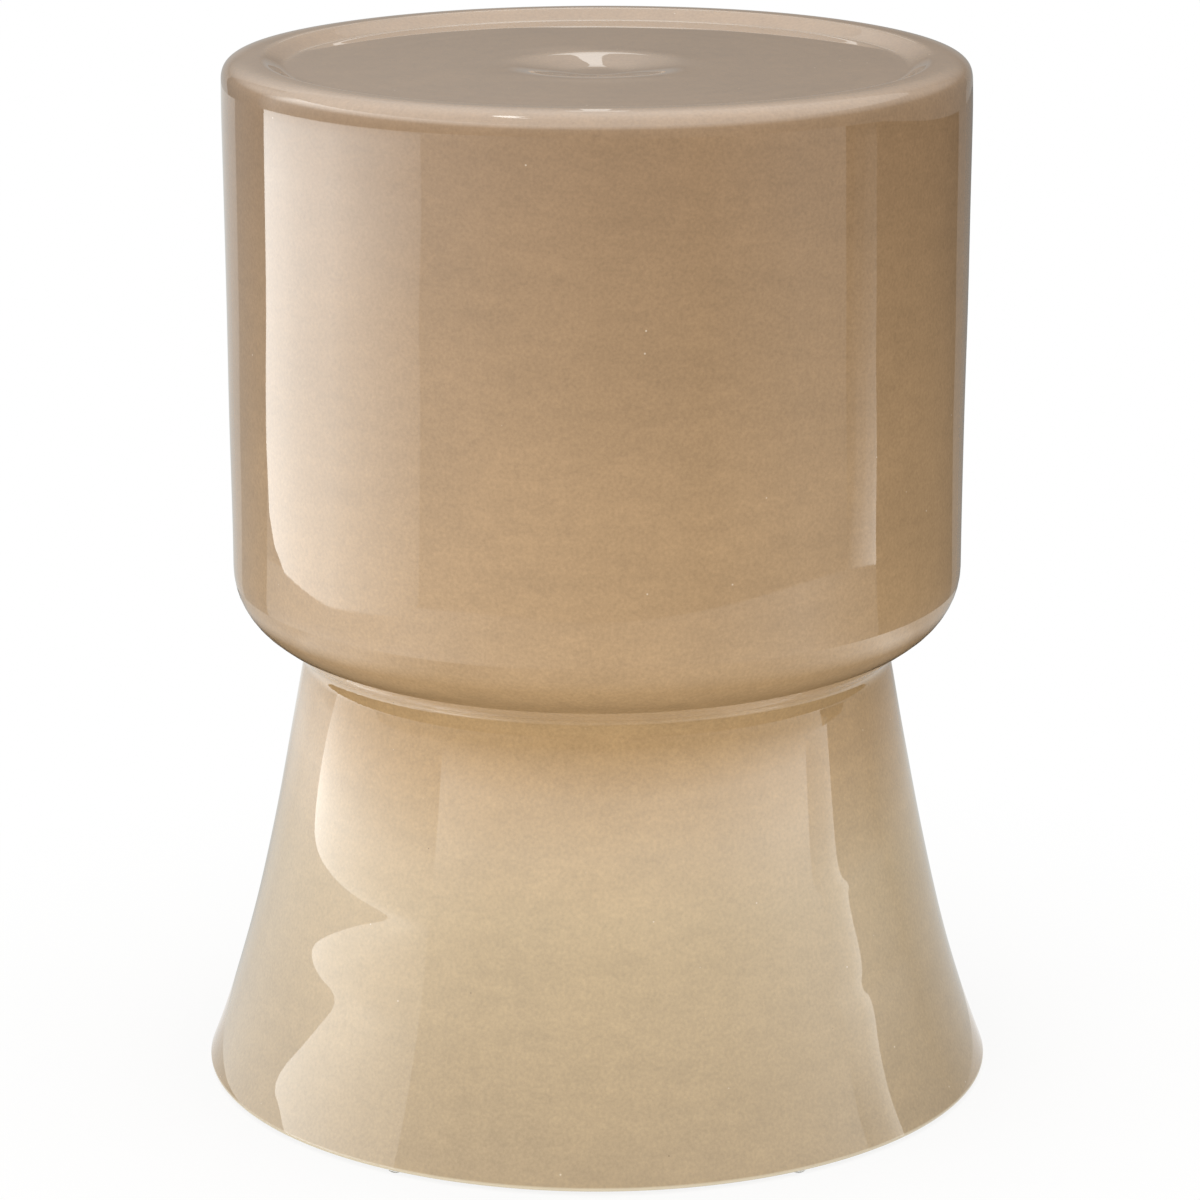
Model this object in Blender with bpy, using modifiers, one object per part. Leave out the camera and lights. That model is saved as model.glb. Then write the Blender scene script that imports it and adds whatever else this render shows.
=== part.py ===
"""Glass garden stool: one blown body of cased glass standing on clear floor bumpers.

Metres, +Z up, floor at z = 0, stool axis on the Z axis.
The glass is three fused layers, each built as its own turned shell: a clear outer casing
that rolls under as the foot lip, the powder colour layer, and the clear inner layer.
"""

import math

import bmesh
import bpy

# Overall body
STOOL_HEIGHT = 0.457
DRUM_RADIUS = 0.1625
DRUM_TAPER = 0.001
DRUM_LOWER_ROUND = 0.032
UNDERSIDE_RISE = 0.0228
WAIST_RADIUS = 0.1302
WAIST_HEIGHT = 0.193
WAIST_ROUND = 0.0055
FOOT_RADIUS = 0.177
FOOT_EDGE_ROUND = 0.0012

# Share of the flare that is a straight cone; the rest curves out towards the foot
FLARE_STRAIGHT_SHARE = 0.743
FLARE_CURVE_POWER = 3.5
FLARE_POINTS = 6

# Seat: a broad rim that falls away a little outside its crest, the flat dish and the dimple in its middle
RIM_OUTER_ROUND = 0.006
RIM_TOP_WIDTH = 0.014
RIM_TOP_FALL = 0.0012
RIM_TOP_ROUND = 0.02
RIM_CREST_WIDTH = 0.004
RIM_CREST_ROUND = 0.01
RIM_SLOPE_WIDTH = 0.009
DISH_DEPTH = 0.0045
DISH_EDGE_ROUND = 0.008
DIMPLE_RADIUS = 0.038
DIMPLE_FLOOR_RADIUS = 0.012
DIMPLE_DEPTH = 0.0032
DIMPLE_ROUND = 0.07

# Glass thicknesses; the inner layer is thicker under the seat than on the wall
CASING = 0.003
COLOUR = 0.0012
INNER_WALL = 0.0042
INNER_SEAT = 0.0062
LIP_HEIGHT = 0.004
INSIDE_ROUND = 0.018

# Clear stick-on dots under the foot
BUMPER_COUNT = 6
BUMPER_RADIUS = 0.0032
BUMPER_HEIGHT = 0.0013
BUMPER_CHAMFER = 0.0003

# Clearance between touching pieces, and the smallest rounding left by an inward offset
GAP = 0.0003
LEAST_ROUND = 0.0004

# Facets: an arc strays from its true curve by less than the clearance, so nested layers stay apart
BODY_STEPS = 40
BUMPER_STEPS = 16
ARC_TOLERANCE = GAP / 2

# Depth of each glass surface behind the outside
COLOUR_OUTSIDE = CASING + GAP
COLOUR_INSIDE = COLOUR_OUTSIDE + COLOUR
INNER_OUTSIDE = COLOUR_INSIDE + GAP
WALL = INNER_OUTSIDE + INNER_WALL

# Heights that follow from those sizes
FOOT_Z = BUMPER_HEIGHT + GAP
LIP_TOP_Z = FOOT_Z + LIP_HEIGHT
LAYER_FOOT_Z = LIP_TOP_Z + GAP
DRUM_LOWER_Z = WAIST_HEIGHT + UNDERSIDE_RISE
DISH_Z = STOOL_HEIGHT - DISH_DEPTH
DIMPLE_Z = DISH_Z - DIMPLE_DEPTH
CEILING_Z = DIMPLE_Z - INNER_OUTSIDE - INNER_SEAT

# Base colour with alpha, and roughness
MATERIALS = {
    "casing_glass": ((0.80, 0.74, 0.66, 0.35), 0.05),
    "colour_glass": ((0.47, 0.33, 0.20, 1.0), 0.15),
    "inner_glass": ((0.80, 0.76, 0.70, 0.35), 0.05),
    "clear_bumper": ((0.75, 0.75, 0.72, 1.0), 0.45),
}


def lower_body_corners():
    """Corners (radius, height, rounding) from the drum's lower edge down the flare to the foot."""
    corners = [
        (DRUM_RADIUS - DRUM_TAPER, DRUM_LOWER_Z, DRUM_LOWER_ROUND),
        (WAIST_RADIUS, WAIST_HEIGHT, WAIST_ROUND),
    ]
    drop = WAIST_HEIGHT - FOOT_Z
    spread = FOOT_RADIUS - WAIST_RADIUS
    for index in range(1, FLARE_POINTS):
        share = index / FLARE_POINTS
        curve = (1 - FLARE_STRAIGHT_SHARE) * share ** FLARE_CURVE_POWER
        radius = WAIST_RADIUS + spread * (FLARE_STRAIGHT_SHARE * share + curve)
        corners.append((radius, WAIST_HEIGHT - drop * share, 0.0))
    corners.append((FOOT_RADIUS, FOOT_Z, FOOT_EDGE_ROUND))
    return corners


def outside_corners():
    """Corners of the whole outside, from the middle of the seat to the foot."""
    crest_outer = DRUM_RADIUS - RIM_TOP_WIDTH
    crest_inner = crest_outer - RIM_CREST_WIDTH
    seat = [
        (0.0, DIMPLE_Z, 0.0),
        (DIMPLE_FLOOR_RADIUS, DIMPLE_Z, DIMPLE_ROUND),
        (DIMPLE_RADIUS, DISH_Z, DIMPLE_ROUND),
        (crest_inner - RIM_SLOPE_WIDTH, DISH_Z, DISH_EDGE_ROUND),
        (crest_inner, STOOL_HEIGHT, RIM_CREST_ROUND),
        (crest_outer, STOOL_HEIGHT, RIM_TOP_ROUND),
        (DRUM_RADIUS, STOOL_HEIGHT - RIM_TOP_FALL, RIM_OUTER_ROUND),
    ]
    return seat + lower_body_corners()


def inside_corners():
    """Corners of the hollow inside: a plain flat ceiling, then the wall thickness all the way down."""
    cover_z = CEILING_Z + WALL
    plain_top = [(0.0, cover_z, 0.0), (DRUM_RADIUS, cover_z, INSIDE_ROUND + WALL)]
    return offset_inward(plain_top + lower_body_corners(), WALL)


def direction(start, end):
    """Unit direction from one corner to the next."""
    run = end[0] - start[0]
    rise = end[1] - start[1]
    length = math.hypot(run, rise)
    return run / length, rise / length


def turn_angle(before, after):
    """Signed turn between two directions; a clockwise turn is negative and bulges outward."""
    cross = before[0] * after[1] - before[1] * after[0]
    dot = before[0] * after[0] + before[1] * after[1]
    return math.atan2(cross, dot)


def offset_inward(corners, depth):
    """Moves every side of an outline into the glass by depth and carries its roundings along."""
    sides = [direction(a, b) for a, b in zip(corners, corners[1:])]
    moved = [(0.0, corners[0][1] - depth, 0.0)]
    for index in range(1, len(corners) - 1):
        radius, height, rounding = corners[index]
        before = sides[index - 1]
        after = sides[index]
        turn = turn_angle(before, after)
        slide = depth * math.tan(-turn / 2)
        new_radius = radius + depth * before[1] - slide * before[0]
        new_height = height - depth * before[0] - slide * before[1]
        if rounding > 0:
            rounding = max(rounding + math.copysign(depth, turn), LEAST_ROUND)
        moved.append((new_radius, new_height, rounding))
    radius, height, _ = corners[-1]
    last = sides[-1]
    moved.append((radius + depth * last[1], height - depth * last[0], 0.0))
    return moved


def cut_at_height(corners, height):
    """Ends an outline where its last side crosses the given height."""
    kept = [corner for corner in corners if corner[1] > height]
    below = corners[len(kept)]
    above = kept[-1]
    share = (above[1] - height) / (above[1] - below[1])
    return kept + [(above[0] + share * (below[0] - above[0]), height, 0.0)]


def arc_facets(rounding, turn):
    """How many straight facets keep an arc within the tolerance."""
    reach = min(ARC_TOLERANCE / rounding, 1.0)
    return max(1, math.ceil(abs(turn) / (2 * math.acos(1 - reach))))


def rounded(corners):
    """Points of an outline with each corner replaced by its arc."""
    points = [corners[0][:2]]
    for previous, corner, following in zip(corners, corners[1:], corners[2:]):
        radius, height, rounding = corner
        before = direction(previous, corner)
        after = direction(corner, following)
        turn = turn_angle(before, after)
        if rounding <= 0 or abs(turn) < 1e-6:
            points.append((radius, height))
            continue
        tangent = rounding * math.tan(abs(turn) / 2)
        side = math.copysign(1.0, turn)
        start = (radius - tangent * before[0], height - tangent * before[1])
        centre = (start[0] - side * rounding * before[1], start[1] + side * rounding * before[0])
        arm = (start[0] - centre[0], start[1] - centre[1])
        count = arc_facets(rounding, turn)
        for index in range(count + 1):
            angle = turn * index / count
            across = arm[0] * math.cos(angle) - arm[1] * math.sin(angle)
            along = arm[0] * math.sin(angle) + arm[1] * math.cos(angle)
            points.append((centre[0] + across, centre[1] + along))
    points.append(corners[-1][:2])
    return points


def layer_outline(depth):
    """Rounded outline of a surface inside the glass, ending on the foot lip."""
    return rounded(cut_at_height(offset_inward(outside_corners(), depth), LAYER_FOOT_Z))


def lip_inner_radius():
    """Radius where the hollow's wall meets the top of the foot lip."""
    return cut_at_height(inside_corners(), LIP_TOP_Z)[-1][0]


def casing_profile():
    """Section of the clear casing: the whole outside, the foot lip, then back up its own inner face."""
    lip_radius = lip_inner_radius()
    lip = [(lip_radius, FOOT_Z, FOOT_EDGE_ROUND), (lip_radius, LIP_TOP_Z, 0.0)]
    inner_face = cut_at_height(offset_inward(outside_corners(), CASING), LIP_TOP_Z)
    return rounded(outside_corners() + lip) + rounded(inner_face)[::-1]


def colour_profile():
    """Section of the thin powder colour layer behind the casing."""
    return layer_outline(COLOUR_OUTSIDE) + layer_outline(COLOUR_INSIDE)[::-1]


def inner_profile():
    """Section of the clear inner layer that lines the hollow."""
    hollow = rounded(cut_at_height(inside_corners(), LAYER_FOOT_Z))
    return layer_outline(INNER_OUTSIDE) + hollow[::-1]


def bumper_profile():
    """Section of one floor bumper about its own axis, with its floor edge chamfered."""
    return [
        (0.0, BUMPER_HEIGHT),
        (BUMPER_RADIUS, BUMPER_HEIGHT),
        (BUMPER_RADIUS, BUMPER_CHAMFER),
        (BUMPER_RADIUS - BUMPER_CHAMFER, 0.0),
        (0.0, 0.0),
    ]


def piece_material(name):
    """Principled material from the table above."""
    colour, roughness = MATERIALS[name]
    material = bpy.data.materials.new(name)
    material.use_nodes = True
    shader = material.node_tree.nodes["Principled BSDF"]
    shader.inputs["Base Color"].default_value = colour
    shader.inputs["Roughness"].default_value = roughness
    shader.inputs["Alpha"].default_value = colour[3]
    material.diffuse_color = colour
    return material


def turned_piece(name, profile, steps, material, collection, place=(0.0, 0.0, 0.0)):
    """Revolves a section in the XZ plane about Z and keeps it as one named object."""
    mesh = bpy.data.meshes.new(name)
    section = bmesh.new()
    points = [section.verts.new((radius, 0.0, height)) for radius, height in profile]
    for start, end in zip(points, points[1:]):
        section.edges.new((start, end))
    section.to_mesh(mesh)
    section.free()
    piece = bpy.data.objects.new(name, mesh)
    piece.location = place
    piece.data.materials.append(material)
    collection.objects.link(piece)
    screw = piece.modifiers.new("Revolve", "SCREW")
    screw.axis = "Z"
    screw.steps = steps
    screw.render_steps = steps
    screw.use_merge_vertices = True
    screw.merge_threshold = 0.00001
    screw.use_smooth_shade = True
    return piece


def build():
    """Clears the scene and makes every piece of the stool."""
    for leftover in list(bpy.data.objects):
        bpy.data.objects.remove(leftover, do_unlink=True)
    stool = bpy.data.collections.new("glass_garden_stool")
    bpy.context.scene.collection.children.link(stool)

    turned_piece("outer_casing", casing_profile(), BODY_STEPS, piece_material("casing_glass"), stool)
    turned_piece("colour_layer", colour_profile(), BODY_STEPS, piece_material("colour_glass"), stool)
    turned_piece("inner_layer", inner_profile(), BODY_STEPS, piece_material("inner_glass"), stool)

    clear_bumper = piece_material("clear_bumper")
    ring_radius = (FOOT_RADIUS + lip_inner_radius()) / 2
    for index in range(BUMPER_COUNT):
        angle = 2 * math.pi * index / BUMPER_COUNT
        place = (ring_radius * math.cos(angle), ring_radius * math.sin(angle), 0.0)
        name = "floor_bumper_%d" % (index + 1)
        turned_piece(name, bumper_profile(), BUMPER_STEPS, clear_bumper, stool, place)


build()
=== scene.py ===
"""Hand-blown glass garden stool in a plain studio.

The body is cased glass: a clear fire-polished casing over a thin layer of fused tan colour powder
over a clear inner layer. The casing rolls under as the foot lip and stands on clear floor bumpers.
Metres, +Z up, the stool's axis on Z. Azimuths count from the camera's side, left in the picture first.
"""

import math

import bmesh
import bpy
import numpy as np
from bpy.props import FloatProperty, FloatVectorProperty, IntProperty, PointerProperty
from mathutils import Matrix, Vector


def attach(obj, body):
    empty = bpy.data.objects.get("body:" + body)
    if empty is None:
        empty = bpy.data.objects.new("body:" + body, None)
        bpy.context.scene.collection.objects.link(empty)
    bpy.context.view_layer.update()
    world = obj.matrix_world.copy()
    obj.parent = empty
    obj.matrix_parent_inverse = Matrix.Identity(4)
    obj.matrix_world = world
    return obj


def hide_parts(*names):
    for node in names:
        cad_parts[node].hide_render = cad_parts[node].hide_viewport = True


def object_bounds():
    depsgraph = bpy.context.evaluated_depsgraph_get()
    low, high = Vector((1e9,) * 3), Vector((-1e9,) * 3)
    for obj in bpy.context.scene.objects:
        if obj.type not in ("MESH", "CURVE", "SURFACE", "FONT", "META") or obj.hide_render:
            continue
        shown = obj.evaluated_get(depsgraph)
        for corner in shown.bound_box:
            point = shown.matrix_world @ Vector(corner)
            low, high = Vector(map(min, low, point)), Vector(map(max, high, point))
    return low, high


bl_info = {
    "name": "Glass garden stool",
    "version": (1, 0, 0),
    "blender": (4, 5, 0),
    "location": "3D View > Sidebar > Stool",
    "description": "Makes a hand-blown glass garden stool and the plain studio it stands in",
    "category": "Add Mesh",
}

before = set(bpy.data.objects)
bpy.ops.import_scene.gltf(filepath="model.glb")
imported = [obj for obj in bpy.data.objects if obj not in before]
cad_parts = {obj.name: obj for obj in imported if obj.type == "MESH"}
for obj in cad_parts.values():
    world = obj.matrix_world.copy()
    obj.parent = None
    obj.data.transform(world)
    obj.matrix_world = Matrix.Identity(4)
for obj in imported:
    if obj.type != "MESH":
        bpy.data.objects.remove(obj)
CAD_BOX = [list(corner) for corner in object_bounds()]
CAD_HEIGHT = CAD_BOX[1][2]

# Profile of the body that stays as it is when the main sizes change
DRUM_TAPER = 0.001
DRUM_LOWER_ROUND = 0.032
WAIST_ROUND = 0.009
FOOT_EDGE_ROUND = 0.0012
FLARE_STRAIGHT_SHARE = 0.743
FLARE_CURVE_POWER = 3.5
FLARE_POINTS = 44
FLARE_FIRST_POINT = 3
RIM_OUTER_ROUND = 0.0048
RIM_TOP_WIDTH = 0.014
RIM_TOP_FALL = 0.0009
RIM_TOP_ROUND = 0.03
RIM_ROLL_WIDTH = 0.016
RIM_ROLL_DROP = 0.011
RIM_ROLL_POWER = 3.2
RIM_ROLL_POINTS = 24
RIM_CREST_WIDTH = 0.004
RIM_CREST_ROUND = 0.0078
RIM_SLOPE_WIDTH = 0.009
DISH_EDGE_ROUND = 0.008
DIMPLE_FLOOR_RADIUS = 0.012
DIMPLE_ROUND = 0.07

# Depth of each layer's faces behind the outside; fused layers run 0.3 mm into each other
CASING_BACK = 0.0030
COLOUR_FRONT = 0.0027
COLOUR_BACK = 0.0048
INNER_FRONT = 0.0045
WALL = 0.0090
CEILING_BELOW_DIMPLE = 0.0110
INSIDE_ROUND = 0.018
LIP_HEIGHT = 0.0016
LIP_OVERLAP = 0.0003
FOOT_Z = 0.0016
LEAST_ROUND = 0.0004
LEAST_TURN = 1e-6

# Clear dots under the foot
BUMPER_RADIUS = 0.0032
BUMPER_HEIGHT = 0.0013
BUMPER_DOME = 0.0009
BUMPER_DOME_HEIGHT = 0.8 * BUMPER_HEIGHT

# Fineness of the meshes
SECTION_SPACING = 0.0042
ARC_STEP = math.radians(7)
CASING_STEPS = 200
LAYER_STEPS = 144
BUMPER_STEPS = 32
BUMPER_DOME_POINTS = 6
MERGE_DISTANCE = 0.000002

CLEAN_WHITE = (1.0, 1.0, 1.0, 1.0)


def from_hex(code):
    """Linear RGBA of an sRGB hex colour."""
    channels = [int(code[start : start + 2], 16) / 255 for start in (1, 3, 5)]
    linear = [c / 12.92 if c <= 0.04045 else ((c + 0.055) / 1.055) ** 2.4 for c in channels]
    return (*linear, 1.0)


def length(label, what, default):
    """A size of the stool as a property."""
    return FloatProperty(
        name=label, description=what, default=default, min=0.0, precision=4, subtype="DISTANCE", unit="LENGTH"
    )


def tint(label, what, code):
    """A colour of the stool as a property."""
    return FloatVectorProperty(
        name=label, description=what, default=from_hex(code), size=4, min=0.0, max=1.0, subtype="COLOR"
    )


class StoolShape(bpy.types.PropertyGroup):
    """Sizes of the blown body."""

    height: length("Height", "Floor to the crest of the rim", CAD_HEIGHT)
    drum_radius: length("Drum radius", "Axis to the outside of the drum", 0.1625)
    waist_radius: length("Waist radius", "Axis to the narrowest place under the drum", 0.1302)
    waist_height: length("Waist height", "Floor to the waist", 0.193)
    underside_rise: length("Underside rise", "Waist to the drum's lower corner", 0.0228)
    foot_radius: length("Foot radius", "Axis to the edge of the flared foot", 0.177)
    dish_depth: length("Dish depth", "Rim crest to the flat of the seat", 0.0045)
    dimple_radius: length("Dimple radius", "Half the width of the dimple in the seat", 0.038)
    dimple_depth: length("Dimple depth", "Flat of the seat to the bottom of the dimple", 0.0032)
    waviness: FloatProperty(
        name="Waviness",
        description="How far the hand-blown outside strays from a true round, as a share of this stool's",
        default=1.0,
        min=0.0,
        max=3.0,
        subtype="FACTOR",
    )


class StoolFinish(bpy.types.PropertyGroup):
    """Colours of the glass and the bumpers."""

    # Painted light and shade: the five powder tones below differ only by how the light falls at each height.
    # They are darker at the drum's top, lighter low on the drum, round the waist where the floor's bounced
    # light falls, and on the flare that faces the light from above, then darker again at the foot
    drum_powder_painted_shade: tint("Drum colour", "Colour powder at the drum's top, where it lies thickest", "#957859")
    belly_powder_painted_light: tint("Belly colour", "Colour powder low on the drum, stretched thin and pale", "#b1926c")
    waist_powder_painted_light: tint("Waist colour", "Colour powder under the waist, where it glows amber", "#b9996f")
    flare_powder_painted_light: tint("Flare colour", "Colour powder half way down the flare", "#b49b74")
    foot_powder_painted_shade: tint("Foot colour", "Colour powder at the edge of the flared foot", "#a9916d")
    # Painted reflection: the bare clear lip is real, but its pale cream stands in for the white floor
    # mirrored in it at the foot's edge
    lip: tint("Foot lip", "Clear glass at the foot's edge, with only a trace of colour", "#dccfb4")
    dark_speck: tint("Dark speck", "Grains of darker powder", "#5a4330")
    # Painted glint: the tiny bubbles are real, but their pale dots stand in for the light they catch
    seed: tint("Seed", "Tiny bubbles that catch light in the colour", "#e6d8c4")
    inner: tint("Inner layer", "Clear glass that lines the hollow", "#fbf8f0")
    bumper: tint("Bumper", "Clear polyurethane of the floor bumpers", "#eeece6")
    bumper_count: IntProperty(
        name="Bumpers", description="Clear dots under the foot", default=6, min=3, max=12
    )


class StoolStudio(bpy.types.PropertyGroup):
    """The plain studio round the stool."""

    floor: tint("Floor", "Pale plain floor", "#f6f5f2")
    cloth: tint("Softbox cloth", "Daylight white of the cards that the glass mirrors", "#fafcfb")
    ambient: FloatProperty(
        name="Ambient",
        description="Even light from all round on matt surfaces",
        default=0.72,
        min=0.0,
        max=2.0,
    )
    camera_distance: length("Camera distance", "Stool axis to the camera along the floor", 1.953)
    camera_height: length("Camera height", "Floor to the camera", 0.745)
    camera_side: length("Camera side", "How far right of the stool's axis the camera stands", 0.0013)
    camera_pitch: FloatProperty(
        name="Camera pitch",
        description="How far the camera looks down",
        default=math.radians(15.26),
        subtype="ANGLE",
        unit="ROTATION",
    )
    camera_lens: FloatProperty(
        name="Lens", description="Focal length on a 36 mm sensor, in millimetres", default=136.0, min=10.0
    )


def direction(start, end):
    """Unit direction from one corner to the next."""
    run, rise = end[0] - start[0], end[1] - start[1]
    reach = math.hypot(run, rise)
    return run / reach, rise / reach


def turn_angle(before, after):
    """Signed turn between two directions; a clockwise turn bulges outward."""
    cross = before[0] * after[1] - before[1] * after[0]
    return math.atan2(cross, before[0] * after[0] + before[1] * after[1])


def lower_body_corners(shape):
    """Corners (radius, height, rounding) from the drum's lower edge down the flare to the foot."""
    corners = [
        (shape.drum_radius - DRUM_TAPER, shape.waist_height + shape.underside_rise, DRUM_LOWER_ROUND),
        (shape.waist_radius, shape.waist_height, WAIST_ROUND),
    ]
    drop = shape.waist_height - FOOT_Z
    spread = shape.foot_radius - shape.waist_radius
    for index in range(FLARE_FIRST_POINT, FLARE_POINTS):
        share = index / FLARE_POINTS
        curve = (1 - FLARE_STRAIGHT_SHARE) * share**FLARE_CURVE_POWER
        radius = shape.waist_radius + spread * (FLARE_STRAIGHT_SHARE * share + curve)
        corners.append((radius, shape.waist_height - drop * share, 0.0))
    corners.append((shape.foot_radius, FOOT_Z, FOOT_EDGE_ROUND))
    return corners


def rim_roll(shape):
    """Points of the fire-polished outer edge of the rim, which turns over ever faster towards its corner."""
    points = []
    for index in range(RIM_ROLL_POINTS + 1):
        turn = math.pi / 2 * index / RIM_ROLL_POINTS
        inset = RIM_ROLL_WIDTH * (1 - math.sin(turn) ** (2 / RIM_ROLL_POWER))
        drop = RIM_ROLL_DROP * (1 - math.cos(turn) ** (2 / RIM_ROLL_POWER))
        points.append((shape.drum_radius - inset, shape.height - drop, 0.0))
    return points


def outside_corners(shape, rolled=False):
    """Corners of the whole outside, from the middle of the seat to the foot.

    Only the casing's own rim is rolled; the layers behind it keep a plain one."""
    dish_z = shape.height - shape.dish_depth
    dimple_z = dish_z - shape.dimple_depth
    crest_outer = shape.drum_radius - RIM_TOP_WIDTH
    crest_inner = crest_outer - RIM_CREST_WIDTH
    seat = [
        (0.0, dimple_z, 0.0),
        (DIMPLE_FLOOR_RADIUS, dimple_z, DIMPLE_ROUND),
        (shape.dimple_radius, dish_z, DIMPLE_ROUND),
        (crest_inner - RIM_SLOPE_WIDTH, dish_z, DISH_EDGE_ROUND),
        (crest_inner, shape.height, RIM_CREST_ROUND),
    ]
    plain_rim = [
        (crest_outer, shape.height, RIM_TOP_ROUND),
        (shape.drum_radius, shape.height - RIM_TOP_FALL, RIM_OUTER_ROUND),
    ]
    return seat + (rim_roll(shape) if rolled else plain_rim) + lower_body_corners(shape)


def inside_corners(shape):
    """Corners of the hollow: a flat ceiling, then the wall thickness all the way down."""
    ceiling = shape.height - shape.dish_depth - shape.dimple_depth - CEILING_BELOW_DIMPLE
    plain_top = [(0.0, ceiling + WALL, 0.0), (shape.drum_radius, ceiling + WALL, INSIDE_ROUND + WALL)]
    return offset_inward(plain_top + lower_body_corners(shape), WALL)


def offset_inward(corners, depth):
    """Moves every side of an outline into the glass by depth and carries its roundings along."""
    sides = [direction(a, b) for a, b in zip(corners, corners[1:])]
    moved = [(0.0, corners[0][1] - depth, 0.0)]
    for (radius, height, rounding), before, after in zip(corners[1:], sides, sides[1:]):
        turn = turn_angle(before, after)
        slide = depth * math.tan(-turn / 2)
        if rounding > 0:
            rounding = max(rounding + math.copysign(depth, turn), LEAST_ROUND)
        new_radius = radius + depth * before[1] - slide * before[0]
        moved.append((new_radius, height - depth * before[0] - slide * before[1], rounding))
    radius, height, _ = corners[-1]
    moved.append((radius + depth * sides[-1][1], height - depth * sides[-1][0], 0.0))
    return moved


def cut_at_height(corners, height):
    """Ends an outline where it comes down to the given height."""
    kept = [corner for corner in corners if corner[1] > height]
    above, below = kept[-1], corners[len(kept)]
    share = (above[1] - height) / (above[1] - below[1])
    return kept + [(above[0] + share * (below[0] - above[0]), height, 0.0)]


def rounded(corners):
    """Finely spaced points of an outline with each corner replaced by its arc."""
    points = [corners[0][:2]]
    for previous, corner, following in zip(corners, corners[1:], corners[2:]):
        radius, height, rounding = corner
        before, after = direction(previous, corner), direction(corner, following)
        turn = turn_angle(before, after)
        if rounding <= 0 or abs(turn) < LEAST_TURN:
            points.append((radius, height))
            continue
        tangent = rounding * math.tan(abs(turn) / 2)
        side = math.copysign(1.0, turn)
        start = (radius - tangent * before[0], height - tangent * before[1])
        centre = (start[0] - side * rounding * before[1], start[1] + side * rounding * before[0])
        arm = (start[0] - centre[0], start[1] - centre[1])
        count = max(3, math.ceil(abs(turn) / ARC_STEP), math.ceil(rounding * abs(turn) / SECTION_SPACING))
        for index in range(count + 1):
            sine, cosine = math.sin(turn * index / count), math.cos(turn * index / count)
            run, rise = arm[0] * cosine - arm[1] * sine, arm[0] * sine + arm[1] * cosine
            points.append((centre[0] + run, centre[1] + rise))
    points.append(corners[-1][:2])
    fine = [points[0]]
    for start, end in zip(points, points[1:]):
        pieces = max(1, math.ceil(math.dist(start, end) / SECTION_SPACING))
        for index in range(1, pieces + 1):
            share = index / pieces
            fine.append((start[0] + share * (end[0] - start[0]), start[1] + share * (end[1] - start[1])))
    return fine


def layer_outline(shape, depth):
    """Outline of a face inside the glass, ending in the foot lip."""
    foot = FOOT_Z + LIP_HEIGHT - LIP_OVERLAP
    return rounded(cut_at_height(offset_inward(outside_corners(shape), depth), foot))


def lip_inner_radius(shape):
    """Radius where the hollow's wall meets the foot lip."""
    return cut_at_height(inside_corners(shape), FOOT_Z + LIP_HEIGHT)[-1][0]


def turned_mesh(name, section, steps, outside_points=0):
    """Spins a section about the stool's axis; the first points are marked as its outside."""
    mesh = bpy.data.meshes.new(name)
    lathe = bmesh.new()
    outside = lathe.verts.layers.float.new("outside")
    points = [lathe.verts.new((radius, 0.0, height)) for radius, height in section]
    for point in points[:outside_points]:
        point[outside] = 1.0
    edges = [lathe.edges.new(pair) for pair in zip(points, points[1:])]
    bmesh.ops.spin(
        lathe,
        geom=points + edges,
        cent=(0, 0, 0),
        axis=(0, 0, 1),
        angle=math.tau,
        steps=steps,
        use_merge=True,
    )
    bmesh.ops.remove_doubles(lathe, verts=lathe.verts, dist=MERGE_DISTANCE)
    bmesh.ops.recalc_face_normals(lathe, faces=lathe.faces)
    for face in lathe.faces:
        face.smooth = True
    lathe.to_mesh(mesh)
    lathe.free()
    return mesh


def ramp(edge, value):
    """Smooth step from 0 at the first number of an edge to 1 at the second, which may be the lower one."""
    share = np.clip((value - edge[0]) / (edge[1] - edge[0]), 0.0, 1.0)
    return share * share * (3 - 2 * share)


# Waves left by blowing and turning: waves round the body, waves per metre of height, depth in mm, phase
DRUM_WAVES = ((3, 5.0, 0.10, 0.4), (5, 9.0, 0.05, 2.1), (2, 2.5, 0.12, 4.0), (8, 14.0, 0.02, 1.2))
FOOT_WAVES = ((3, 7.0, 0.08, 0.9), (5, 11.0, 0.05, 2.7), (7, 16.0, 0.03, 5.2), (4, 21.0, 0.02, 1.6))
RIM_WAVES = ((2, 0.0, 0.16, 0.8), (3, 0.0, 0.10, 2.4), (7, 0.0, 0.04, 1.1))
DIMPLE_WAVES = ((1, 0.0, 0.08, 2.2), (2, 0.0, 0.06, 0.7), (3, 0.0, 0.05, 2.0), (5, 0.0, 0.03, 4.1))
# Faint rings that the turning left in the dish, and how their spacing wanders
RING_SPACING = 0.0105
RING_DEPTH = 0.00002
RING_WANDER = 1.5
RING_WANDER_RATE = 90.0
# Where each kind of wave sets in and where it is full, in metres below or above a level, or from the axis
FOOT_BELOW_WAIST = (0.006, 0.05)
FOOT_ABOVE_FLOOR = (0.003, 0.02)
DRUM_ABOVE_WAIST = (0.01, 0.06)
DRUM_BELOW_TOP = (0.006, 0.03)
RIM_BELOW_TOP = (0.02, 0.006)
RIM_FROM_AXIS = (0.125, 0.14)
DIMPLE_INNER_EDGE = (0.014, 0.03)
DIMPLE_OUTER_EDGE = (0.055, 0.042)
DISH_INNER_EDGE = (0.044, 0.06)
DISH_OUTER_EDGE = (0.132, 0.122)
SEAT_BELOW_TOP = 0.02


def wave_sum(waves, angle, height):
    """Height in metres of a table of waves at each point."""
    total = np.zeros_like(angle)
    for around, upward, depth, phase in waves:
        total += 0.001 * depth * np.sin(around * angle + math.tau * upward * height + phase)
    return total


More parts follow.
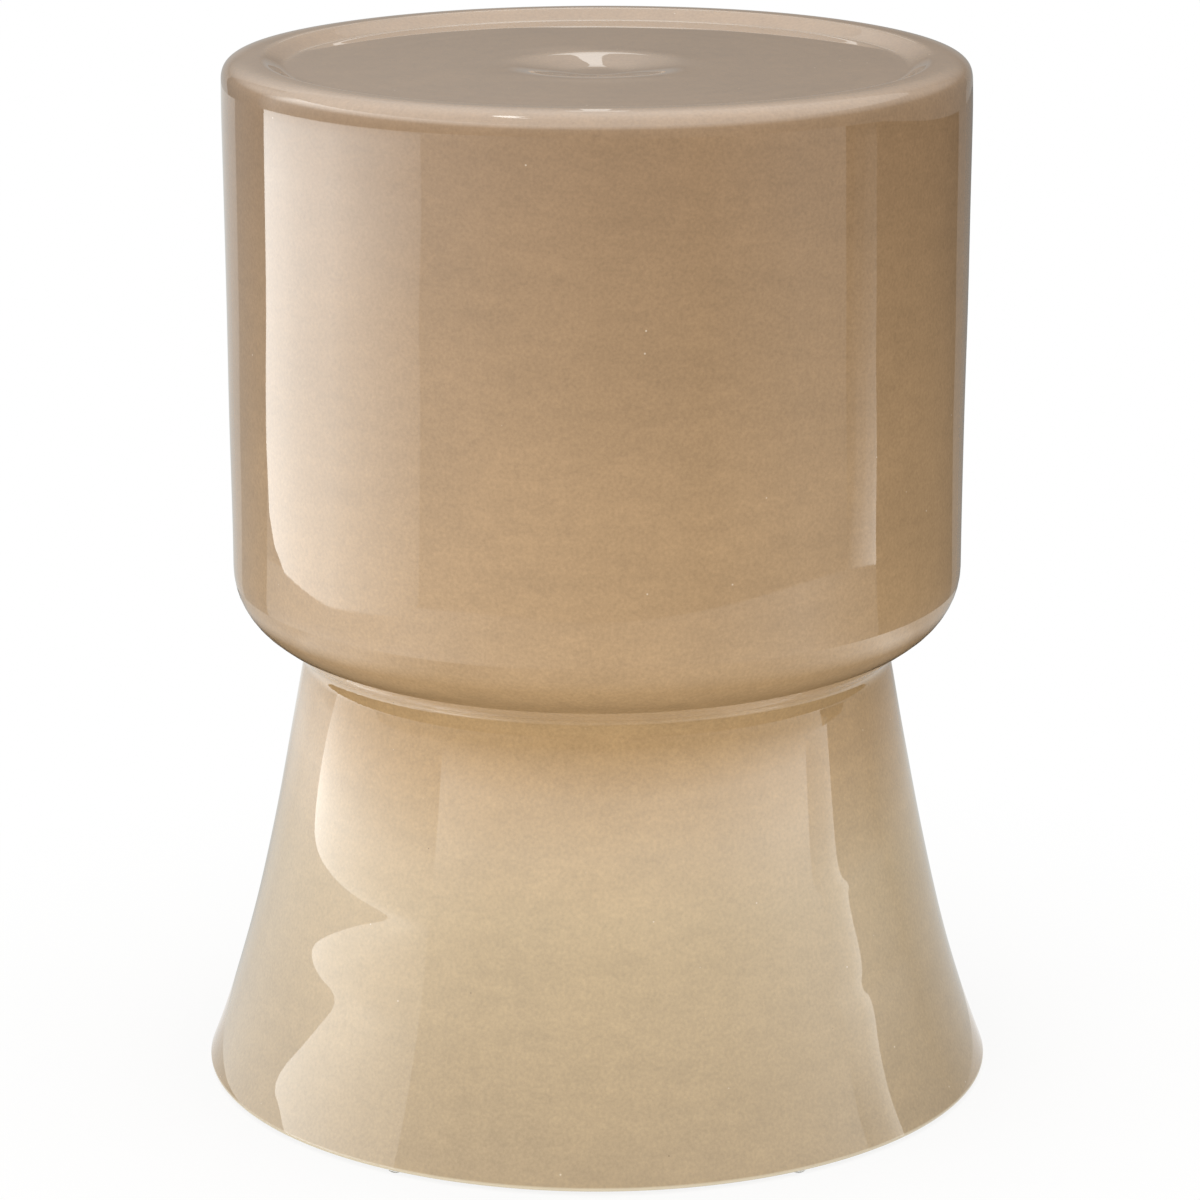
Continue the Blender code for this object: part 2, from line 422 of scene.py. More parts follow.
def blown_surface(mesh, shape):
    """Moves the outside in and out as the blowpipe and tools left it; the foot's underside stays flat."""
    count = len(mesh.vertices)
    place = np.empty(count * 3, np.float32)
    outside = np.empty(count, np.float32)
    mesh.vertices.foreach_get("co", place)
    mesh.attributes["outside"].data.foreach_get("value", outside)
    place = place.reshape(-1, 3)
    normal = np.empty(count * 3, np.float32)
    mesh.vertex_normals.foreach_get("vector", normal)
    normal = normal.reshape(-1, 3)

    angle = np.arctan2(-place[:, 0], -place[:, 1])
    radius = np.hypot(place[:, 0], place[:, 1])
    height = place[:, 2]
    above_waist, below_top = height - shape.waist_height, shape.height - height
    on_seat = below_top < SEAT_BELOW_TOP
    on_foot = ramp(FOOT_BELOW_WAIST, -above_waist) * ramp(FOOT_ABOVE_FLOOR, height)
    on_drum = ramp(DRUM_ABOVE_WAIST, above_waist) * ramp(DRUM_BELOW_TOP, below_top)
    on_rim = ramp(RIM_BELOW_TOP, below_top) * ramp(RIM_FROM_AXIS, radius)
    on_dimple = ramp(DIMPLE_INNER_EDGE, radius) * ramp(DIMPLE_OUTER_EDGE, radius) * on_seat
    on_dish = ramp(DISH_INNER_EDGE, radius) * ramp(DISH_OUTER_EDGE, radius) * on_seat

    depth = on_foot * wave_sum(FOOT_WAVES, angle, height)
    depth += on_drum * wave_sum(DRUM_WAVES, angle, height)
    depth += on_rim * wave_sum(RIM_WAVES, angle, height)
    depth += on_dimple * wave_sum(DIMPLE_WAVES, angle, height)
    wander = RING_WANDER * np.sin(radius * RING_WANDER_RATE)
    depth += on_dish * RING_DEPTH * np.sin(math.tau * radius / RING_SPACING + wander)
    place += normal * (depth * outside * shape.waviness)[:, None]
    mesh.vertices.foreach_set("co", place.ravel())
    mesh.attributes.remove(mesh.attributes["outside"])
    mesh.update()


def add_node(tree, kind, inputs=None, **settings):
    """Adds a node, sets its options, and fills its inputs with values or links."""
    node = tree.nodes.new(kind)
    for option, value in settings.items():
        setattr(node, option, value)
    for socket, value in (inputs or {}).items():
        if isinstance(value, bpy.types.NodeSocket):
            tree.links.new(value, node.inputs[socket])
        else:
            node.inputs[socket].default_value = value
    return node


def empty_material(name):
    """A material with only an output node; returns the material, its tree and the output."""
    material = bpy.data.materials.new(name)
    material.use_nodes = True
    tree = material.node_tree
    tree.nodes.clear()
    return material, tree, tree.nodes.new("ShaderNodeOutputMaterial")


def per_metre(millimetres):
    """Texture scale that draws a feature at the given size."""
    return 1000.0 / millimetres


GLASS_IOR = 1.5
# Size in millimetres of the smears on the outside and in the hollow
OUTSIDE_SMEARS = 60.0
HOLLOW_SMEARS = 40.0


def smeared_polish(tree, where, smear_mm):
    """Roughness of fire-polished glass: mirror smooth, dulled a little where hands and wipes left smears."""
    smears = add_node(
        tree,
        "ShaderNodeTexNoise",
        {"Vector": where, "Scale": per_metre(smear_mm), "Detail": 3.0, "Roughness": 0.6},
    )
    polish = add_node(
        tree,
        "ShaderNodeMapRange",
        {
            "Value": smears.outputs["Fac"],
            "From Min": 0.35,
            "From Max": 0.75,
            "To Min": 0.012,
            "To Max": 0.035,
        },
    )
    return polish.outputs["Result"]


def clear_glass(name, colour, smear_mm):
    """Soda-lime glass, blown and fire-polished: a clear, mirror-smooth skin over what lies behind it.

    Lamps shine straight through it to the colour behind, as they do through any thin clear layer."""
    material, tree, output = empty_material(name)
    where = add_node(tree, "ShaderNodeTexCoord").outputs["Object"]
    glass = add_node(
        tree,
        "ShaderNodeBsdfPrincipled",
        {
            "Base Color": colour,
            "Roughness": smeared_polish(tree, where, smear_mm),
            "IOR": GLASS_IOR,
            "Transmission Weight": 1.0,
        },
    )
    lamp_light = add_node(tree, "ShaderNodeBsdfTransparent", {"Color": CLEAN_WHITE})
    path = add_node(tree, "ShaderNodeLightPath")
    mix = add_node(
        tree,
        "ShaderNodeMixShader",
        {0: path.outputs["Is Shadow Ray"], 1: glass.outputs["BSDF"], 2: lamp_light.outputs["BSDF"]},
    )
    tree.links.new(mix.outputs["Shader"], output.inputs["Surface"])
    return material


# Where the colour powder has each tone, as a share of the height. The steps from tone to tone are painted
# light and shade: darker at the drum's top, lighter low on the drum, round the waist and on the flare, and
# darker again at the foot.
POWDER_PAINTED_LIGHT_TONES = (
    (0.02, "foot_powder_painted_shade"), (0.24, "flare_powder_painted_light"), (0.37, "waist_powder_painted_light"), (0.42, "waist_powder_painted_light"),
    (0.50, "belly_powder_painted_light"), (0.95, "drum_powder_painted_shade"),
)
# Mottling of the fused powder: size in millimetres, how much flatter than wide, detail, spread of the tone
POWDER_MOTTLE = (
    (70.0, 1.0, 3.0, 0.10),
    (42.0, 5.0, 2.0, 0.07),
    (9.0, 1.6, 2.0, 0.09),
    # Powder grains are 0.2 to 0.5 mm; drawn at 1.5 mm so that they show
    (1.5, 1.0, 2.0, 0.21),
)
# Spots in the fused powder: spacing and size in millimetres, share of places left empty, strength, finish.
# The dark specks are real grains; the pale seeds are real bubbles drawn as a painted glint
POWDER_SPOTS = ((17.0, 0.45, 0.75, 0.65, "dark_speck"), (12.0, 0.50, 0.60, 0.55, "seed"))


def powder_colour(tree, where, finish, shape):
    """Ground colour glass, rolled on and fused: opaque and finely mottled, with painted light and shade by
    height.

    The tone is darker at the drum's top and lighter low on the drum, round the waist and on the flare, as the
    light falls there. Stray dark grains show in it, and tiny bubbles are drawn as pale dots, a painted glint."""
    height = add_node(tree, "ShaderNodeSeparateXYZ", {"Vector": where}).outputs["Z"]
    level = add_node(tree, "ShaderNodeMath", {0: height, 1: shape.height}, operation="DIVIDE")
    # Painted light and shade: the tone ramp by height, darker at the drum's top and lighter lower down
    tone = add_node(tree, "ShaderNodeValToRGB", {"Fac": level.outputs["Value"]})
    stops = tone.color_ramp.elements
    while len(stops) < len(POWDER_PAINTED_LIGHT_TONES):
        stops.new(1.0)
    for stop, (position, name) in zip(stops, POWDER_PAINTED_LIGHT_TONES):
        stop.position, stop.color = position, getattr(finish, name)
    value = 1.0
    for size, flatness, detail, spread in POWDER_MOTTLE:
        flattened = add_node(tree, "ShaderNodeMapping", {"Vector": where, "Scale": (1.0, 1.0, flatness)})
        texture = add_node(
            tree,
            "ShaderNodeTexNoise",
            {
                "Vector": flattened.outputs["Vector"],
                "Scale": per_metre(size),
                "Detail": detail,
                "Roughness": 0.6,
            },
        )
        shade = add_node(
            tree,
            "ShaderNodeMapRange",
            {"Value": texture.outputs["Fac"], "To Min": 1.0 - spread, "To Max": 1.0 + spread},
        ).outputs["Result"]
        value = add_node(tree, "ShaderNodeMath", {0: value, 1: shade}, operation="MULTIPLY").outputs["Value"]
    mottled = add_node(tree, "ShaderNodeHueSaturation", {"Value": value, "Color": tone.outputs["Color"]})
    colour = mottled.outputs["Color"]
    for spacing, size, empty, strength, spot in POWDER_SPOTS:
        cells = add_node(tree, "ShaderNodeTexVoronoi", {"Vector": where, "Scale": per_metre(spacing)})
        dot = add_node(
            tree,
            "ShaderNodeMapRange",
            {
                "Value": cells.outputs["Distance"],
                "From Min": size / spacing,
                "From Max": 0.5 * size / spacing,
                "To Max": strength,
            },
        )
        draw = add_node(tree, "ShaderNodeSeparateColor", {"Color": cells.outputs["Color"]}).outputs["Red"]
        kept = add_node(tree, "ShaderNodeMath", {0: draw, 1: empty}, operation="GREATER_THAN")
        share = add_node(
            tree, "ShaderNodeMath", {0: dot.outputs["Result"], 1: kept.outputs["Value"]}, operation="MULTIPLY"
        )
        colour = add_node(
            tree,
            "ShaderNodeMix",
            {"Factor": share.outputs["Value"], 6: colour, 7: getattr(finish, spot)},
            data_type="RGBA",
        ).outputs[2]
    return colour


# Where the colour gives way to the bare lip, from and to, in heights of the lip; the lip is drawn pale, a
# painted reflection of the white floor
LIP_FADE = (1.3, 0.7)


def cased_tan_glass(finish, shape):
    """Clear glass cased over colour powder, blown and fire-polished: the powder's tan under a mirror gloss.

    Drawn opaque, as no light comes through the powder. At the foot lip the clear glass lies bare, and its
    pale cream there is a painted reflection of the white floor."""
    material, tree, output = empty_material("cased_tan_glass")
    where = add_node(tree, "ShaderNodeTexCoord").outputs["Object"]
    height = add_node(tree, "ShaderNodeSeparateXYZ", {"Vector": where}).outputs["Z"]
    coloured, clear = (FOOT_Z + share * LIP_HEIGHT for share in LIP_FADE)
    bare = add_node(
        tree, "ShaderNodeMapRange", {"Value": height, "From Min": coloured, "From Max": clear}
    )
    # Painted reflection: below the fade the tan gives way to the pale lip colour, which stands in for the
    # white floor mirrored at the foot's edge
    colour = add_node(
        tree,
        "ShaderNodeMix",
        {"Factor": bare.outputs["Result"], 6: powder_colour(tree, where, finish, shape), 7: finish.lip},
        data_type="RGBA",
    )
    glass = add_node(
        tree,
        "ShaderNodeBsdfPrincipled",
        {
            "Base Color": colour.outputs[2],
            "Roughness": smeared_polish(tree, where, OUTSIDE_SMEARS),
            "IOR": GLASS_IOR,
        },
    )
    tree.links.new(glass.outputs["BSDF"], output.inputs["Surface"])
    return material


def powder_colour_glass(finish, shape):
    """Fused colour powder by itself: opaque and matt, as the gloss is the clear glass's on either side."""
    material, tree, output = empty_material("powder_colour_glass")
    where = add_node(tree, "ShaderNodeTexCoord").outputs["Object"]
    powder = add_node(
        tree,
        "ShaderNodeBsdfPrincipled",
        {
            "Base Color": powder_colour(tree, where, finish, shape),
            "Roughness": 0.6,
            "Specular IOR Level": 0.0,
        },
    )
    tree.links.new(powder.outputs["BSDF"], output.inputs["Surface"])
    return material


# Size in millimetres of the satin that the mould left on the bumpers
MOULD_SATIN = 0.6


def clear_polyurethane(finish):
    """Clear moulded polyurethane: soft gloss, slightly milky, with a fine satin from the mould."""
    material, tree, output = empty_material("clear_polyurethane")
    where = add_node(tree, "ShaderNodeTexCoord").outputs["Object"]
    satin = add_node(
        tree, "ShaderNodeTexNoise", {"Vector": where, "Scale": per_metre(MOULD_SATIN), "Detail": 2.0}
    ).outputs["Fac"]
    gloss = add_node(tree, "ShaderNodeMapRange", {"Value": satin, "To Min": 0.22, "To Max": 0.42})
    veil = add_node(tree, "ShaderNodeMapRange", {"Value": satin, "To Min": 0.92, "To Max": 1.0})
    milk = add_node(
        tree, "ShaderNodeHueSaturation", {"Value": veil.outputs["Result"], "Color": finish.bumper}
    )
    rubber = add_node(
        tree,
        "ShaderNodeBsdfPrincipled",
        {
            "Base Color": milk.outputs["Color"],
            "Roughness": gloss.outputs["Result"],
            "IOR": 1.5,
            "Transmission Weight": 0.7,
        },
    )
    tree.links.new(rubber.outputs["BSDF"], output.inputs["Surface"])
    return material


def place_piece(name, mesh, material, node):
    """Puts a finished piece in the scene in place of its plain solid."""
    piece = bpy.data.objects.new(name, mesh)
    piece.data.materials.append(material)
    bpy.context.scene.collection.objects.link(piece)
    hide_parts(node)
    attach(piece, "root")
    return piece


class STOOL_OT_outer_casing(bpy.types.Operator):
    """Clear outer gather of glass: seat, rim, drum, waist, flare and foot lip"""

    bl_idname = "glass_stool.outer_casing"
    bl_label = "Outer casing"

    def execute(self, context):
        shape, finish = context.scene.stool_shape, context.scene.stool_finish
        lip_radius = lip_inner_radius(shape)
        lip = [(lip_radius, FOOT_Z, FOOT_EDGE_ROUND), (lip_radius, FOOT_Z + LIP_HEIGHT, 0.0)]
        skin = rounded(outside_corners(shape, rolled=True) + lip)
        back = cut_at_height(offset_inward(outside_corners(shape), CASING_BACK), FOOT_Z + LIP_HEIGHT)
        mesh = turned_mesh("casing_glass", skin + rounded(back)[::-1], CASING_STEPS, len(skin))
        blown_surface(mesh, shape)
        place_piece("casing_glass", mesh, cased_tan_glass(finish, shape), "outer_casing")
        return {"FINISHED"}


class STOOL_OT_colour_layer(bpy.types.Operator):
    """Thin layer of fused tan colour powder behind the casing"""

    bl_idname = "glass_stool.colour_layer"
    bl_label = "Colour layer"

    def execute(self, context):
        shape, finish = context.scene.stool_shape, context.scene.stool_finish
        section = layer_outline(shape, COLOUR_FRONT) + layer_outline(shape, COLOUR_BACK)[::-1]
        mesh = turned_mesh("powder_layer", section, LAYER_STEPS)
        place_piece("powder_layer", mesh, powder_colour_glass(finish, shape), "colour_layer")
        return {"FINISHED"}


class STOOL_OT_inner_layer(bpy.types.Operator):
    """Clear inner gather that lines the hollow"""

    bl_idname = "glass_stool.inner_layer"
    bl_label = "Inner layer"

    def execute(self, context):
        shape, finish = context.scene.stool_shape, context.scene.stool_finish
        hollow = rounded(cut_at_height(inside_corners(shape), FOOT_Z + LIP_HEIGHT - LIP_OVERLAP))
        mesh = turned_mesh("hollow_lining", layer_outline(shape, INNER_FRONT) + hollow[::-1], LAYER_STEPS)
        glass = clear_glass("fire_polished_inner_glass", finish.inner, HOLLOW_SMEARS)
        place_piece("hollow_lining", mesh, glass, "inner_layer")
        return {"FINISHED"}


class STOOL_OT_floor_bumpers(bpy.types.Operator):
    """Clear stick-on dots under the foot"""

    bl_idname = "glass_stool.floor_bumpers"
    bl_label = "Floor bumpers"

    def execute(self, context):
        shape, finish = context.scene.stool_shape, context.scene.stool_finish
        rubber = clear_polyurethane(finish)
        ring_radius = (shape.foot_radius + lip_inner_radius(shape)) / 2
        dome = [(0.0, BUMPER_HEIGHT), (BUMPER_RADIUS, BUMPER_HEIGHT), (BUMPER_RADIUS, BUMPER_DOME_HEIGHT)]
        for index in range(1, BUMPER_DOME_POINTS + 1):
            share = index / BUMPER_DOME_POINTS
            dome.append((BUMPER_RADIUS - BUMPER_DOME * share**2, BUMPER_DOME_HEIGHT * (1 - share)))
        dome.append((0.0, 0.0))
        for number in range(1, finish.bumper_count + 1):
            turn = math.tau * (number - 1) / finish.bumper_count
            mesh = turned_mesh("floor_bumper", dome, BUMPER_STEPS)
            place = (ring_radius * math.cos(turn), ring_radius * math.sin(turn), 0.0)
            mesh.transform(Matrix.Translation(place))
            place_piece("clear_dot_%d" % number, mesh, rubber, "floor_bumper_%d" % number)
        return {"FINISHED"}


# Lamps that light the stool: azimuth and elevation in degrees, distance and size in metres, brightness
LAMPS = {
    "front_lamp": (21, 14, 2.6, 2.0, 1.35),
    "top_lamp": (0, 88, 2.1, 1.6, 2.0),
}
LAMP_AIM_HEIGHT = 0.25
# Watts for each square metre of a lamp of brightness 1
LAMP_WATTS = 4.0

# Floor: radius in metres, sides of the disc, roller marks in millimetres
FLOOR_RADIUS = 14.0
FLOOR_SIDES = 64
ROLLER_MARKS = 250.0
# From and to where the stool's shadow fades out on it, and how white it already is under the stool
SHADOW_EDGE = (0.17, 0.45)
SHADOW_WHITE = 0.85

SENSOR_WIDTH = 36.0

# Cards that the glass mirrors: degrees between the bends of a card, and sizes that several cards share
CARD_BEND = 4.0
TABLE_HEIGHT = 0.003
TABLE_START = 0.28
TABLE_END = 1.02
ROOM_REACH = 3.0
CEILING_HEIGHT = 2.4
REFLECTOR_REACH = 0.20


def graded(around, along):
    """Columns of a card whose light falls off evenly round it and along it.

    Takes (azimuth, glow) pairs round the card and (place, share of that glow) pairs along it."""
    return tuple(tuple((azimuth, place, glow * share) for place, share in along) for azimuth, glow in around)


# Near end of the left softbox on the table, rounded at its far corner: (azimuth, reach, glow) along it
SOFTBOX_END = (
    (118, 1.30, 4.6), (116.5, 1.13, 5.0), (113, 1.05, 5.2), (107, 1.00, 5.5),
    (85, 0.97, 5.6), (56, 0.98, 3.0), (52.5, 1.02, 2.6),
)
# Shares of that glow further along it
SOFTBOX_REACHES = ((1.7, 1.1), (2.4, 1.2), (ROOM_REACH, 0.8))
# Cards that lie flat: height, then columns of (azimuth, reach from the axis, glow)
FLAT_CARDS = {
    # The drum mirrors the table, the left softbox over its edge, and the darker room to the right of it
    "table": (
        TABLE_HEIGHT,
        graded(
            (
                (118, 1.2), (85, 2.8), (56, 3.0), (27, 1.6), (0, 1.0),
                (-30, 1.1), (-61, 1.8), (-78, 1.0), (-90.5, 0.6),
            ),
            ((TABLE_START, 0.45), (0.50, 1.0), (TABLE_END, 1.0)),
        ),
    ),
    "left_softbox": (
        0.006,
        tuple(
            ((azimuth, near, glow), *((azimuth, reach, glow * share) for reach, share in SOFTBOX_REACHES))
            for azimuth, near, glow in SOFTBOX_END
        ),
    ),
    "front_room": (
        TABLE_HEIGHT,
        graded(
            ((118, 1.0), (56, 2.0), (27, 1.2), (0, 0.75), (-30, 0.5), (-61, 0.9), (-78, 0.8)),
            ((TABLE_END, 1.0), (ROOM_REACH, 1.2)),
        ),
    ),
    "right_softbox_edge": (
        TABLE_HEIGHT,
        graded(((-78, 0.8), (-90.5, 3.4)), ((TABLE_END, 1.0), (1.7, 0.35), (ROOM_REACH, 0.05))),
    ),
    "left_rear_gap": (
        TABLE_HEIGHT,
        graded(((141, 0.5), (118, 0.6)), ((TABLE_START, 1.0), (ROOM_REACH, 1.0))),
    ),
    "left_rear_wall": (
        TABLE_HEIGHT,
        graded(((172, 0.8), (141, 0.9)), ((TABLE_START, 0.8), (ROOM_REACH, 1.0))),
    ),
    "right_rear_gap": (
        TABLE_HEIGHT,
        graded(((-90.5, 0.1), (-141, 0.08)), ((TABLE_START, 3.0), (1.0, 1.0), (ROOM_REACH, 0.6))),
    ),
    "right_rear_wall": (
        TABLE_HEIGHT,
        graded(((-141, 0.25), (-172, 0.22)), ((TABLE_START, 1.2), (ROOM_REACH, 1.0))),
    ),
    # The drum's lower corner mirrors the near sheet's top, and the waist the shade under it
    "sheet_top": (
        0.189,
        graded(
            (
                (115, 0.4), (84, 0.9), (70, 1.3), (64, 2.0), (50, 2.2), (28, 0.9),
                (0, 0.8), (-29, 0.9), (-65, 2.0), (-78, 0.8), (-115, 0.4),
            ),
            ((0.1335, 0.0), (0.158, 0.1), (0.178, 0.9), (0.2065, 1.2)),
        ),
    ),
    "waist_shade": (0.1875, graded(((150, 0.15), (-150, 0.15)), ((0.1335, 0.0), (0.206, 1.0)))),
    # The roll of the rim mirrors a small skylight
    "skylight": (2.3, graded(((62, 14.0), (130, 14.0)), ((0.42, 1.0), (0.55, 1.0)))),
}


def softened(outline):
    """An outline of points with its corners cut twice, which leaves smooth curves."""
    for _ in range(2):
        cut = [outline[0]]
        for start, end in zip(outline, outline[1:]):
            cut += [tuple(a + share * (b - a) for a, b in zip(start, end)) for share in (0.25, 0.75)]
        outline = (*cut, outline[-1])
    return outline


# Notched far edge of the near reflectors: (azimuth, height) upwards
LEFT_EDGE = softened((
    (56, 0.000), (60, 0.011), (68, 0.020), (61, 0.047), (56, 0.064), (66, 0.067), (70, 0.073), (68, 0.080),
    (57, 0.094), (47, 0.102), (50, 0.104), (66, 0.106), (80, 0.111), (84, 0.125), (86, 0.150), (84, 0.180),
))
RIGHT_EDGE = softened((
    (-56, 0.000), (-58, 0.036), (-62, 0.060), (-59, 0.066), (-62, 0.076),
    (-62, 0.102), (-64, 0.107), (-61, 0.112), (-62, 0.130), (-67, 0.176),
))
# Near side of the left reflector: azimuth at the floor, and degrees that it leans for each metre up
LEFT_NEAR_AZIMUTH = 33.0
LEFT_NEAR_LEAN = 40.0
# Heights between which the left reflector dims, and the share of its light at each
LEFT_DIM_HEIGHTS = (0.13, 0.18)
LEFT_DIM_SHARES = (1.0, 0.4)
# Heights of the right reflector's low, middle and top light; the middle light holds over a stretch
RIGHT_LIGHT_HEIGHTS = (0.02, 0.06, 0.11, 0.17)


def left_reflector(share, glow):
    """Column of the left reflector, at a share of the way from its near side to its notched edge."""
    column = []
    for azimuth, height in LEFT_EDGE:
        near = LEFT_NEAR_AZIMUTH + LEFT_NEAR_LEAN * height
        fade = float(np.interp(height, LEFT_DIM_HEIGHTS, LEFT_DIM_SHARES))
        column.append((near + share * (azimuth - near), height, glow * fade))
    return tuple(column)


def right_column(turn, low, middle, top):
    """Column that follows the right reflector's edge, turned past it by some degrees."""
    heights = [height for _, height in RIGHT_EDGE]
    glows = np.interp(heights, RIGHT_LIGHT_HEIGHTS, (low, middle, middle, top))
    return tuple((azimuth + turn, height, float(glow)) for (azimuth, height), glow in zip(RIGHT_EDGE, glows))


# Cards that stand round the stool: distance, then columns of (azimuth, height, glow)
WALL_CARDS = {
    # The rim mirrors the room in front, brighter towards its ceiling and on the left
    "front_wall": (
        ROOM_REACH,
        graded(
            (
                (150, 0.8), (122, 1.8), (112, 4.2), (85, 4.2), (56, 3.6),
                (27, 3.0), (0, 2.6), (-61, 2.2), (-105, 1.2), (-150, 0.6),
            ),
            ((0.0, 0.35), (0.45, 0.42), (0.95, 0.5), (1.54, 1.3), (CEILING_HEIGHT, 2.0)),
        ),
    ),
    # The seat mirrors the dim wall behind it
    "back_wall": (
        ROOM_REACH,
        graded(
            ((150, 1.5), (172, 1.2), (182, 1.0), (192, 0.9), (210, 0.8)),
            ((0.0, 0.45), (0.7, 0.42), (0.86, 0.35), (1.02, 0.46), (1.7, 0.95), (CEILING_HEIGHT, 1.6)),
        ),
    ),
    # The far side of the rim mirrors a lamp strip high on that wall, and the dimple a narrow window
    "rear_strip": (2.9, graded(((178.6, 2.6), (181.4, 2.6)), ((2.0, 1.0), (2.35, 1.0)))),
    "rear_window": (2.9, graded(((179.5, 2.1), (180.4, 2.1)), ((1.3, 0.6), (1.6, 1.0), (1.95, 1.0)))),
    # The flare mirrors a sheet close round it, with a reflector left and right of the camera
    "near_sheet": (
        0.206,
        graded(
            (
                (150, 0.7), (120, 0.8), (100, 1.5), (78, 3.0), (60, 4.2), (45, 4.2),
                (24, 3.0), (0, 2.6), (-25, 2.9), (-45, 3.8), (-66, 3.8),
            ),
            ((0.0, 0.8), (0.05, 0.85), (0.10, 1.0), (0.14, 1.3), (0.165, 1.1), (0.1875, 0.1)),
        ),
    ),
    "left_reflector": (
        REFLECTOR_REACH,
        (left_reflector(0.0, 4.2), left_reflector(0.6, 6.2), left_reflector(1.0, 6.6)),
    ),
    "right_reflector": (
        REFLECTOR_REACH,
        (right_column(9, 2.2, 3.6, 2.6), right_column(3.5, 2.8, 4.0, 2.8), right_column(0, 4.2, 5.2, 3.0)),
    ),
    "right_shade": (
        0.203,
        (right_column(0, 1.6, 2.2, 0.8), right_column(-20, 0.8, 0.9, 0.4), right_column(-90, 0.7, 0.6, 0.3)),
    ),
}
# What it mirrors overhead: rows of (y, glow) from the back to the front, and shares of it at each x
CEILING_ROWS = ((ROOM_REACH, 1.6), (1.75, 2.8), (0.8, 4.2), (0.0, 5.0), (-ROOM_REACH, 5.0))
CEILING_SIDES = ((-ROOM_REACH, 1.1), (0.0, 1.0), (ROOM_REACH, 0.85))


def studio_place(azimuth, distance, height):
    """Point at an azimuth from the camera's side, in degrees, left in the picture first."""
    turn = math.radians(azimuth)
    return Vector((-distance * math.sin(turn), -distance * math.cos(turn), height))


def before_matt_bounce(tree, path):
    """1 for rays that have met no matt surface since they left the eye."""
    bounces = path.outputs["Diffuse Depth"]
    return add_node(tree, "ShaderNodeMath", {0: bounces, 1: 0.5}, operation="LESS_THAN").outputs["Value"]


def card_material(colour):
    """Softbox cloth: its glow shows in the gloss of the glass and lights nothing else."""
    material, tree, output = empty_material("softbox_cloth")
    path = add_node(tree, "ShaderNodeLightPath")
    glow = add_node(tree, "ShaderNodeAttribute", attribute_name="glow")
    direct = before_matt_bounce(tree, path)
    level = add_node(tree, "ShaderNodeMath", {0: direct, 1: glow.outputs["Fac"]}, operation="MULTIPLY")
    light = add_node(tree, "ShaderNodeEmission", {"Color": colour, "Strength": level.outputs["Value"]})
    tree.links.new(light.outputs["Emission"], output.inputs["Surface"])
    material.cycles.emission_sampling = "NONE"
    return material


def place_card(name, corners, glows, faces, material):
    """A stage card that only gloss sees, with a glow at each corner."""
    mesh = bpy.data.meshes.new(name)
    mesh.from_pydata(corners, [], faces)
    mesh.attributes.new("glow", "FLOAT", "POINT").data.foreach_set("value", glows)
    card = bpy.data.objects.new(name, mesh)
    card.data.materials.append(material)
    bpy.context.scene.collection.objects.link(card)
    card.visible_camera = card.visible_diffuse = card.visible_shadow = False
    card.visible_transmission = card.visible_volume_scatter = False


def place_strip(name, columns, material):
    """A card made of columns of (x, y, z, glow) points; its glow runs evenly from one to the next."""
    rows = len(columns[0])
    points = [point for column in columns for point in column]
    faces = [
        (start + row, start + rows + row, start + rows + row + 1, start + row + 1)
        for start in range(0, len(points) - rows, rows)
        for row in range(rows - 1)
    ]
    place_card(name, [point[:3] for point in points], [point[3] for point in points], faces, material)


def bent_columns(columns, place):
    """Columns of a card bent round the stool, with more between those that stand far apart."""
    bent = []
    for start, end in zip(columns, columns[1:]):
        count = max(1, round(abs(end[0][0] - start[0][0]) / CARD_BEND))
        for index in range(count + 1):
            share = index / count
            column = []
            for first, last in zip(start, end):
                azimuth, along, glow = (a + (b - a) * share for a, b in zip(first, last))
                column.append((*place(azimuth, along), glow))
            bent.append(column)
    return bent


def eye_rays(tree, path):
    """1 for rays that the eye sees directly, in gloss or through glass."""
    seen = path.outputs["Is Camera Ray"]
    for ray in ("Is Glossy Ray", "Is Transmission Ray"):
        either = add_node(tree, "ShaderNodeMath", {0: seen, 1: path.outputs[ray]}, operation="MAXIMUM")
        seen = either.outputs["Value"]
    return seen


